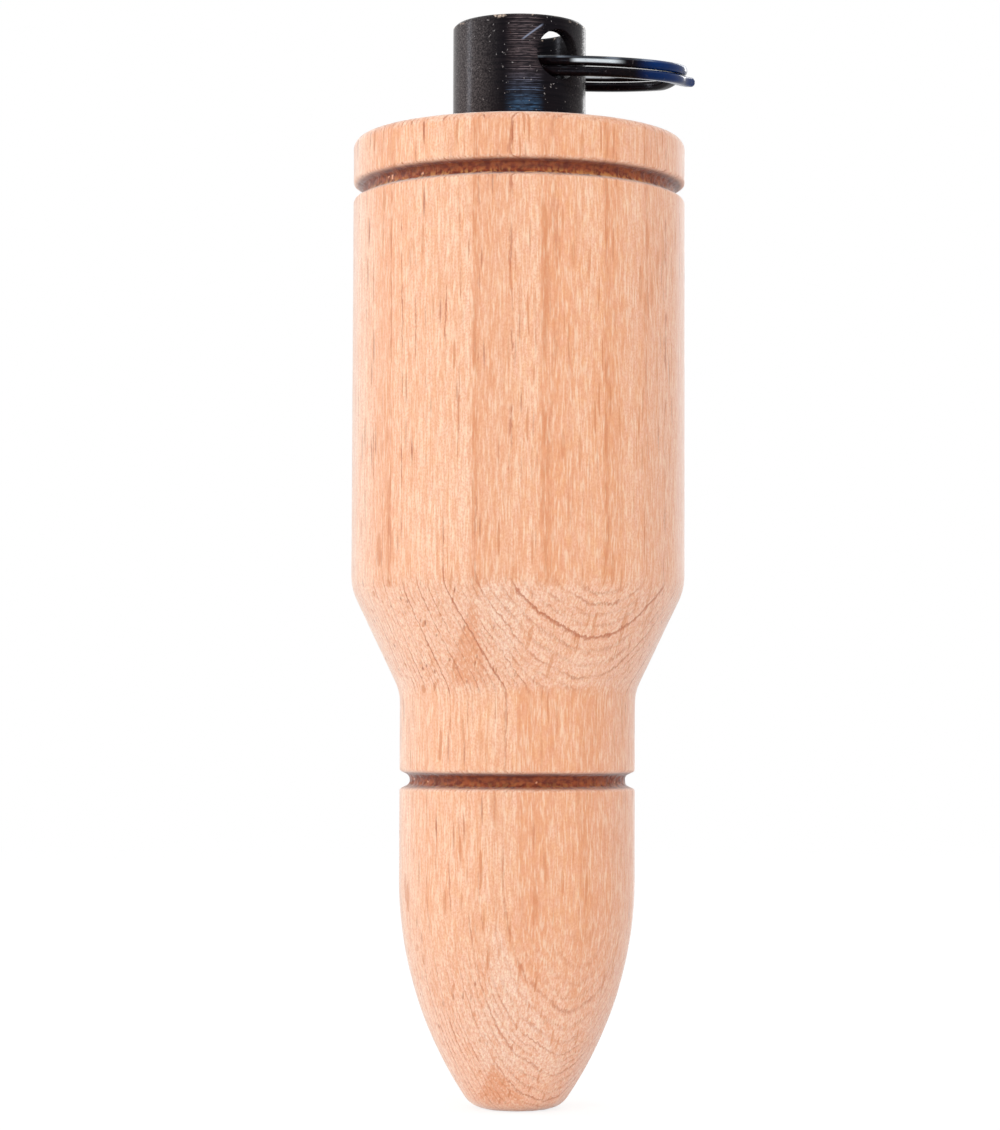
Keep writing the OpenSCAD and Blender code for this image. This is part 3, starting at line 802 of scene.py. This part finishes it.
def beech():
    """Sanded beech: rings, streaks, pores and flats over a pale ground, painted light and shade on the flats,
    sides, slopes and wedges, and the burnt grooves over all.
    """
    material, b, shader, place = new_finish("sanded_beech")
    turn = b.fill(b.node("ShaderNodeMapping"), Vector=place, Rotation=(0.0, 0.0, math.radians(-BARK_TURN)))
    grain = turn.outputs[0]
    aside, further = b.vector("ADD", grain, ASIDE), b.vector("ADD", grain, FURTHER)
    across, inward, along = b.parts(grain)
    x, y, _ = b.parts(place)
    round_turn = b.math("ARCTAN2", x, b.times(y, -1.0))
    quarter_cut = b.span(b.math("ABSOLUTE", across), *QUARTER_CUT)
    slope = b.span(b.math("ABSOLUTE", b.facing()[2]), 0.06, 0.4)
    above_bullet = b.span(along, BULLET_L, SHOULDER_Z)
    late_wood, ring_end, faint_lines = ring_marks(b, grain, aside, inward, quarter_cut, slope, above_bullet)
    on_body, lit_flats, shaded_flats = sanded_flats(b, along, round_turn)

    bands = b.group(BROAD_TONE, Place=grain, Size=1.5, Stretch=16.0)
    long_bands = b.group(SPECKLE, Place=further, Per_mm=0.6, Stretch=40.0, Low=0.42, High=0.58)
    patches = b.group(BROAD_TONE, Place=aside, Size=4.5, Stretch=1.8)
    pink = b.group(SPECKLE, Place=aside, Per_mm=2.2, Stretch=1.8, Low=0.4, High=0.64)
    golden = b.group(SPECKLE, Place=further, Per_mm=1.6, Stretch=2.5, Low=0.44, High=0.66)
    wide_streaks = b.group(SPECKLE, Place=grain, Per_mm=2.3, Stretch=14.0, Low=0.42, High=0.68)
    streaks = b.group(SPECKLE, Place=grain, Per_mm=8.5, Stretch=12.0, Low=0.38, High=0.66)
    pale_streaks = b.group(SPECKLE, Place=aside, Per_mm=7.5, Stretch=9.0, Low=0.46, High=0.72)
    grit = b.group(SPECKLE, Place=further, Per_mm=8.0, Stretch=1.3, Low=0.36, High=0.66)
    torn_edge = b.group(SPECKLE, Place=further, Per_mm=2.2, Stretch=6.0, Low=0.42, High=0.6)
    vessels = b.group(DASHES, Place=grain, Width=0.09, Depth=0.16, Length=1.6, Share=0.2, Waver=0.5)
    flames = b.group(DASHES, Place=further, Width=0.12, Depth=0.4, Length=1.9, Share=0.45, Waver=0.5)
    spindles = b.group(DASHES, Place=aside, Width=0.26, Depth=1.4, Length=2.1, Share=0.34, Waver=0.6)

    paler_side = b.span(along, *RIM_TONE, 0.3, 0.08)
    slope_grain_and_light = b.line(above_bullet, -0.2, 0.72)
    flames = b.times(b.span(flames, 0.18, 0.42), b.span(bands, 0.25, 0.65, 1.0, 0.25))
    torn_edge = b.times(torn_edge, b.span(lit_flats, 0.0, 0.18, 0.65, 0.0))
    cut_open = b.times(vessels, b.line(quarter_cut, 0.6, 0.25))
    tone = b.layers(b.blend(bands, paint(247, 192, 153), paint(253, 214, 182)), (
        (patches, 0.35, paint(238, 178, 142)),
        (long_bands, 0.35, paint(237, 172, 128)),
        (golden, 0.4, paint(250, 194, 134)),
        (pink, 0.4, paint(245, 188, 170)),
        (late_wood, 0.25, paint(234, 164, 120)),
        (quarter_cut, paler_side, paint(255, 226, 202)),
        # paler on the slopes: partly the end grain that shows there, partly painted light
        (slope, slope_grain_and_light, paint(255, 224, 206)),
        # painted shade and painted light on the sanded flats, as the lamps fall on each
        (shaded_flats, 0.5, paint(224, 150, 107)),
        (lit_flats, 0.17, paint(255, 233, 208)),
        # painted light on the left side and painted shade on the right side, as the lamps fall
        (b.span(round_turn, *LIT_LEFT_SIDE), 0.45, paint(255, 236, 218)),
        (b.span(round_turn, *SHADED_RIGHT_SIDE), 0.28, paint(232, 182, 168)),
        # wedges of painted light and of painted shade on the front
        (wedges(b, place, LIT_WEDGES), 0.5, paint(255, 232, 214)),
        (wedges(b, place, SHADE_WEDGES), 0.6, paint(224, 146, 102)),
        (wide_streaks, 0.4, paint(232, 162, 114)),
        (streaks, 0.44, paint(226, 147, 99)),
        (grit, 0.55, paint(226, 152, 116)),
        (faint_lines, 1.0, paint(200, 126, 92)),
        (pale_streaks, 0.5, paint(255, 231, 203)),
        (flames, 0.62, paint(208, 130, 84)),
        (torn_edge, on_body, paint(206, 126, 78)),
        (b.span(spindles, 0.2, 0.42), b.line(quarter_cut, -0.35, 0.5), paint(212, 134, 88)),
        (ring_end, 0.8, paint(182, 100, 64)),
        (cut_open, 1.0, paint(166, 90, 58)),
        (b.span(b.kept("burn"), 0.1, 0.7), 1.0, burnt_groove(b, place, aside, along)),
    ))
    hollows = b.math("ADD", cut_open, b.times(ring_end, 0.15))
    height = b.math("SUBTRACT", b.times(b.math("ADD", streaks, grit), 0.35), hollows)
    b.fill(shader, Base_Color=tone, Roughness=b.line(grit, 0.16, 0.52), Normal=b.bump(height, 0.5, 0.05))
    b.fill(shader, Specular_IOR_Level=0.25, Sheen_Weight=0.8, Sheen_Roughness=0.35)
    return material


# Black steel
# The scratch on the tube's front, from one (x, height) to another, its width and how far it fades at its ends
SCRATCH_FROM, SCRATCH_TO, SCRATCH_W, SCRATCH_FADE = Vector((0.06, 78.9)), Vector((1.8, 80.25)), 0.1, 0.4
# The painted highlight down the front, drawn as a rubbed band over the lathe lines: the x of its middle, and
# how far from there it is full and ends
HIGHLIGHT_X, HIGHLIGHT_FULL, HIGHLIGHT_END = 0.35, 0.5, 1.6
# Where the dust and the painted reflection of the side lamps on the left and on the right begin and are full,
# in x
SHEEN_AND_DUST_LEFT, SHEEN_AND_DUST_RIGHT = (-1.0, -4.4), (3.0, 4.6)
# Heights over which the dust and the painted highlight set in above the barrel, the painted highlight turns
# from a painted blue reflection to grey, the polish dulls and chips set in
ABOVE_BARREL = (BARREL_L - 1.5, BARREL_L)
BLUE_TO_GREY = (BARREL_L + 1.5, BARREL_L + 5.0)
DULLER = (BARREL_L + 3.6, BARREL_L + 5.6)
CHIPPED = (TUBE_TOP - 0.42, TUBE_TOP - 0.12)


def scratch(b, place):
    """One straight mark on the front that fades at both ends."""
    x, y, z = b.parts(place)
    run = SCRATCH_TO - SCRATCH_FROM
    way = run.normalized()
    across = b.math("SUBTRACT", x, SCRATCH_FROM.x)
    up = b.math("SUBTRACT", z, SCRATCH_FROM.y)
    along = b.math("ADD", b.times(across, way.x), b.times(up, way.y))
    off = b.math("SUBTRACT", b.times(up, way.x), b.times(across, way.y))
    mark = b.span(b.math("ABSOLUTE", off), 0.0, SCRATCH_W, 1.0, 0.0)
    ends = b.within(along, 0.0, SCRATCH_FADE, run.length - SCRATCH_FADE, run.length)
    return b.times(mark, ends, b.math("LESS_THAN", y, 0.0))


def black_steel():
    """Blackened steel with lathe lines, dust and painted reflection at the sides, a painted highlight down
    the front, chips and one scratch.
    """
    material, b, shader, place = new_finish("blackened_steel")
    aside, above = b.vector("ADD", place, TUBE_ASIDE), b.vector("ADD", place, UP_THE_TUBE)
    x, _, height = b.parts(place)
    lines = b.group(TURNED_LINES, Place=place, Per_mm=4.2, Waver=0.06)
    fine_lines = b.group(TURNED_LINES, Place=above, Per_mm=11.0, Waver=0.03)
    grit = b.group(SPECKLE, Place=place, Per_mm=8.0, Low=0.33, High=0.74)
    specks = b.group(SPECKLE, Place=place, Per_mm=4.2, Low=0.68, High=0.74)
    chips = b.group(SPECKLE, Place=place, Per_mm=1.7, Low=0.56, High=0.64)
    ragged = b.group(SPECKLE, Place=aside, Per_mm=1.5, Stretch=0.22, Low=0.36, High=0.58)
    worn = b.group(BROAD_TONE, Place=place, Size=2.4)
    scored = scratch(b, place)
    above_barrel = b.span(height, *ABOVE_BARREL, 0.12, 1.0)
    dust_and_side_sheen = b.math("MAXIMUM", b.span(x, *SHEEN_AND_DUST_LEFT), b.span(x, *SHEEN_AND_DUST_RIGHT, 0.0, 0.3))
    off_band = b.math("ABSOLUTE", b.math("SUBTRACT", x, HIGHLIGHT_X))
    # a painted highlight down the front, drawn as bared steel between the lathe lines
    rubbed_and_highlight = b.times(b.span(off_band, HIGHLIGHT_FULL, HIGHLIGHT_END, 1.0, 0.0), above_barrel)
    rubbed_and_highlight = b.times(rubbed_and_highlight, b.line(b.span(fine_lines, 0.4, 0.85), 0.9, 0.04), b.line(ragged, 0.75, 0.25))
    chips = b.times(chips, b.span(height, *CHIPPED), b.span(b.facing()[2], 0.6, 0.95, 1.0, 0.25))
    # the dust's speckled tone, which also carries the painted reflection of the side lamps
    dust = b.blend(grit, paint(52, 48, 49), paint(104, 98, 98))
    # the painted highlight's tone, a painted blue reflection low down passing to grey higher up
    highlight_tone = b.blend(b.span(height, *BLUE_TO_GREY), paint(76, 122, 166), paint(118, 104, 106))
    tone = b.layers(b.blend(worn, paint(8, 8, 12), paint(16, 12, 15)), (
        (lines, 0.35, paint(40, 34, 37)),
        (b.times(dust_and_side_sheen, above_barrel), 0.9, dust),
        (rubbed_and_highlight, 1.0, highlight_tone),
        (specks, 0.8, paint(156, 152, 152)),
        (chips, 1.0, paint(206, 186, 170)),
        (scored, 0.75, paint(146, 156, 180)),
    ))
    roughness = b.line(fine_lines, 0.1, b.span(height, *DULLER, 0.1, 0.14))
    relief = b.math("ADD", b.math("ADD", lines, fine_lines), b.times(grit, 0.25))
    normal = b.bump(b.math("SUBTRACT", relief, scored), 0.16, 0.03)
    b.fill(shader, Base_Color=tone, Roughness=roughness, Normal=normal)
    b.fill(shader, Specular_IOR_Level=0.05, Specular_Tint=paint(220, 230, 255))
    return material


# Black wire
# Where the painted blue reflection at the ring's end begins and is full in x, and is full and ends in y
BLUE_GLINT_X, BLUE_GLINT_Y = (8.4, 10.4), (3.5, 6.5)
# The painted highlight streak on the upper turn: where it starts, is full, fades and ends, in x and in
# heights of a turn
STREAK_X, STREAK_LEVEL = (3.6, 4.3, 6.8, 8.0), (0.26, 0.42, 0.58, 0.74)


def black_wire():
    """Black wire with a painted blue reflection at one end and painted highlights along its upper edges."""
    material, b, shader, place = new_finish("black_spring_wire")
    aside = b.vector("ADD", place, WIRE_ASIDE)
    x, y, _ = b.parts(place)
    level = b.kept("turn_height")
    grit = b.group(SPECKLE, Place=place, Per_mm=6.0, Low=0.35, High=0.75)
    worn = b.group(BROAD_TONE, Place=place, Size=2.5)
    rubbed_and_highlight = b.group(SPECKLE, Place=place, Per_mm=3.0, Low=0.66, High=0.76)
    bright = b.group(SPECKLE, Place=aside, Per_mm=0.4, Low=0.5, High=0.66)
    # a painted blue reflection at the ring's right end
    blue_reflection = b.times(b.span(x, *BLUE_GLINT_X), b.span(y, *BLUE_GLINT_Y, 1.0, 0.0), b.line(worn, 0.4, 0.6))
    # painted highlights along the upper edges, mostly on the upper turn, and a brighter painted streak
    upper_edge = b.within(b.facing()[2], 0.15, 0.4, 0.7, 0.9)
    edge_highlight = b.times(b.line(bright, 0.3, 0.06), b.span(level, 0.0, 0.1, 0.1, 1.0))
    highlight_streak = b.times(b.within(level, *STREAK_LEVEL), b.within(x, *STREAK_X))
    tone = b.layers(b.blend(grit, paint(9, 6, 8), paint(24, 14, 15)), (
        (blue_reflection, 0.95, paint(0, 46, 106)),
        (upper_edge, edge_highlight, paint(186, 200, 218)),
        (highlight_streak, 0.9, paint(220, 232, 240)),
        (rubbed_and_highlight, 0.5, paint(92, 88, 92)),
    ))
    b.fill(shader, Base_Color=tone, Roughness=b.line(worn, 0.08, 0.12), Normal=b.bump(grit, 0.08, 0.02))
    b.fill(shader, Specular_IOR_Level=0.05, Specular_Tint=paint(222, 230, 255))
    return material


# The reed set and the seals
def trough_brass():
    material, b, shader, place = new_finish("machined_brass")
    lines = b.group(TURNED_LINES, Place=place, Per_mm=4.0, Waver=0.1)
    tarnish = b.group(BROAD_TONE, Place=place, Size=3.0)
    tone = b.layers(paint(212, 172, 92), ((tarnish, 0.6, paint(160, 116, 58)),))
    b.fill(shader, Base_Color=tone, Roughness=b.line(lines, 0.18, 0.2), Normal=b.bump(lines, 0.15, 0.02))
    b.fill(shader, Metallic=1.0)
    return material


def reed_bronze():
    material, b, shader, place = new_finish("rolled_bronze")
    streaks = b.group(DASHES, Place=place, Width=0.05, Depth=0.4, Length=2.5, Share=0.6, Waver=0.02)
    tarnish = b.group(BROAD_TONE, Place=place, Size=2.4, Stretch=2.0)
    tone = b.layers(paint(214, 158, 104), (
        (tarnish, 0.5, paint(170, 108, 66)),
        (streaks, 0.4, paint(140, 92, 58)),
    ))
    b.fill(shader, Base_Color=tone, Roughness=b.line(streaks, 0.2, 0.22), Normal=b.bump(streaks, 0.1, 0.01))
    b.fill(shader, Metallic=1.0)
    return material


def cork():
    material, b, shader, place = new_finish("fine_cork")
    grains = b.group(SPECKLE, Place=place, Per_mm=1.8, Low=0.35, High=0.65)
    pits = b.group(DASHES, Place=place, Width=0.3, Depth=0.3, Length=0.7, Share=0.4, Waver=0.3)
    tone = b.blend(grains, paint(176, 128, 82), paint(208, 164, 114))
    tone = b.layers(tone, ((pits, 0.8, paint(92, 58, 34)),))
    normal = b.bump(b.math("SUBTRACT", grains, pits), 0.4, 0.05)
    b.fill(shader, Base_Color=tone, Roughness=b.line(grains, 0.15, 0.7), Normal=normal)
    return material


def seal_rubber():
    material, b, shader, place = new_finish("matt_rubber")
    dust = b.group(SPECKLE, Place=place, Per_mm=4.0, Low=0.5, High=0.8)
    aged = b.group(BROAD_TONE, Place=place, Size=2.0)
    tone = b.blend(aged, paint(24, 24, 24), paint(38, 37, 36))
    tone = b.layers(tone, ((dust, 0.4, paint(78, 76, 73)),))
    b.fill(shader, Base_Color=tone, Roughness=b.line(dust, 0.2, 0.5), Normal=b.bump(dust, 0.15, 0.02))
    return material


def dress(piece, material):
    """Gives a piece its finish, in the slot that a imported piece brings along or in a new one."""
    if piece.material_slots:
        piece.material_slots[0].material = material
    else:
        piece.data.materials.append(material)


rubber = seal_rubber()
dress(barrel, beech())
dress(tube, black_steel())
dress(ring, black_wire())
for node, finish in (
    ("reed_trough", trough_brass()),
    ("reed_tongue", reed_bronze()),
    ("reed_wedge", cork()),
    ("seal_ring_upper", rubber),
    ("seal_ring_lower", rubber),
):
    dress(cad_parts[node], finish)


# Camera: at the photograph's angle, for a picture of 1000 by 1130, with its place and range in mm
FOCAL_PX, PICTURE_H, SENSOR = 3121.9, 1130, 36.0
EYE_AT, EYE_TILT, EYE_ROLL = Vector((-1.336, -233.40, 28.03)), 3.012, 0.2
NEAREST, FURTHEST = 10.0, 10000.0
eye = bpy.data.cameras.new("eye")
eye.sensor_width = SENSOR
eye.lens = FOCAL_PX * SENSOR / PICTURE_H
eye.clip_start, eye.clip_end = NEAREST * MM, FURTHEST * MM
camera = bpy.data.objects.new("eye", eye)
camera.matrix_world = (
    Matrix.Translation(EYE_AT * MM)
    @ Matrix.Rotation(math.radians(90 + EYE_TILT), 4, "X")
    @ Matrix.Rotation(math.radians(EYE_ROLL), 4, "Z")
)
bpy.context.scene.collection.objects.link(camera)
bpy.context.scene.camera = camera
bpy.context.scene.view_settings.view_transform = "Standard"


# Floor, light and white surroundings
# The floor's half width, and how far from the call its white begins and is full
FLOOR_HALF, WHITE_FROM, WHITE_FULL = 1200.0, 120.0, 500.0
# The floor's grey as light on things, and its grey and glow where it is seen close to the call
FLOOR_GREY, SEEN_GREY, SEEN_GLOW = 0.9, 0.25, 0.82
# The surroundings' strength as light on things, and as seen
ROOM_LIGHT, SEEN_LIGHT = 0.66, 1.0
# Lamps: the place in mm, the watts, and the width and height in mm; all face this height on the axis
AIM_Z = 45.0
LAMPS = {
    "front_strip_1": ((-10, -560, 260), 0.15, 12, 360),
    "front_strip_2": ((70, -560, 260), 0.15, 12, 360),
    "front_strip_3": ((150, -560, 260), 0.15, 12, 360),
    "left_box": ((-600, 80, 160), 1.5, 90, 420),
    "low_box": ((-40, -520, 24), 0.5, 400, 40),
    "top_box": ((90, -260, 540), 0.35, 160, 40),
    "back_box": ((260, 560, 300), 0.5, 100, 300),
}


def seen_directly(b):
    """1 for what the camera sees straight, reflected or through glass, and 0 for light on things."""
    rays = b.node("ShaderNodeLightPath").outputs
    direct = b.math("MAXIMUM", rays["Is Camera Ray"], rays["Is Glossy Ray"])
    return b.math("MAXIMUM", direct, rays["Is Transmission Ray"])


def pale_floor():
    """A floor that keeps the call's shadow and passes into plain white further off; it has no underside."""
    mesh = bpy.data.meshes.new("floor")
    half = FLOOR_HALF * MM
    corners = [(-half, -half, 0), (half, -half, 0), (half, half, 0), (-half, half, 0)]
    mesh.from_pydata(corners, [], [(0, 1, 2, 3)])
    floor = bpy.data.objects.new("floor", mesh)
    bpy.context.scene.collection.objects.link(floor)
    material = bpy.data.materials.new("pale_floor")
    material.use_nodes = True
    material.node_tree.nodes.clear()
    b = Bench(material.node_tree)
    plain, shaded = [b.node("ShaderNodeBsdfDiffuse", (g, g, g, 1.0)) for g in (FLOOR_GREY, SEEN_GREY)]
    glow = b.fill(b.node("ShaderNodeEmission"), Strength=SEEN_GLOW)
    close = b.node("ShaderNodeAddShader", shaded.outputs[0], glow.outputs[0])
    place = b.node("ShaderNodeTexCoord").outputs["Object"]
    distance = b.node("ShaderNodeVectorMath", place, operation="LENGTH").outputs["Value"]
    whiter = b.span(distance, WHITE_FROM * MM, WHITE_FULL * MM)
    seen = b.mixed(whiter, close, b.node("ShaderNodeEmission"))
    top = b.mixed(seen_directly(b), plain, seen)
    underside = b.node("ShaderNodeNewGeometry").outputs["Backfacing"]
    both = b.mixed(underside, top, b.node("ShaderNodeBsdfTransparent"))
    b.node("ShaderNodeOutputMaterial", both.outputs[0])
    mesh.materials.append(material)


def white_surroundings():
    """Plain white to the camera and in reflections, and dimmer as light on things."""
    world = bpy.data.worlds.new("white_room")
    bpy.context.scene.world = world
    world.use_nodes = True
    world.node_tree.nodes.clear()
    b = Bench(world.node_tree)
    white = (1.0, 1.0, 1.0, 1.0)
    light, seen = [b.node("ShaderNodeBackground", white, strength) for strength in (ROOM_LIGHT, SEEN_LIGHT)]
    b.node("ShaderNodeOutputWorld", b.mixed(seen_directly(b), light, seen).outputs[0])


def softbox(name, at_mm, watts, width_mm, height_mm):
    """A rectangular lamp that faces the middle of the call."""
    lamp = bpy.data.lights.new(name, "AREA")
    lamp.shape = "RECTANGLE"
    lamp.size, lamp.size_y = width_mm * MM, height_mm * MM
    lamp.energy = watts
    holder = bpy.data.objects.new(name, lamp)
    at = Vector(at_mm) * MM
    aim = Vector((0, 0, AIM_Z)) * MM - at
    holder.matrix_world = Matrix.Translation(at) @ aim.to_track_quat("-Z", "Y").to_matrix().to_4x4()
    bpy.context.scene.collection.objects.link(holder)


pale_floor()
white_surroundings()
for name, lamp in LAMPS.items():
    softbox(name, *lamp)
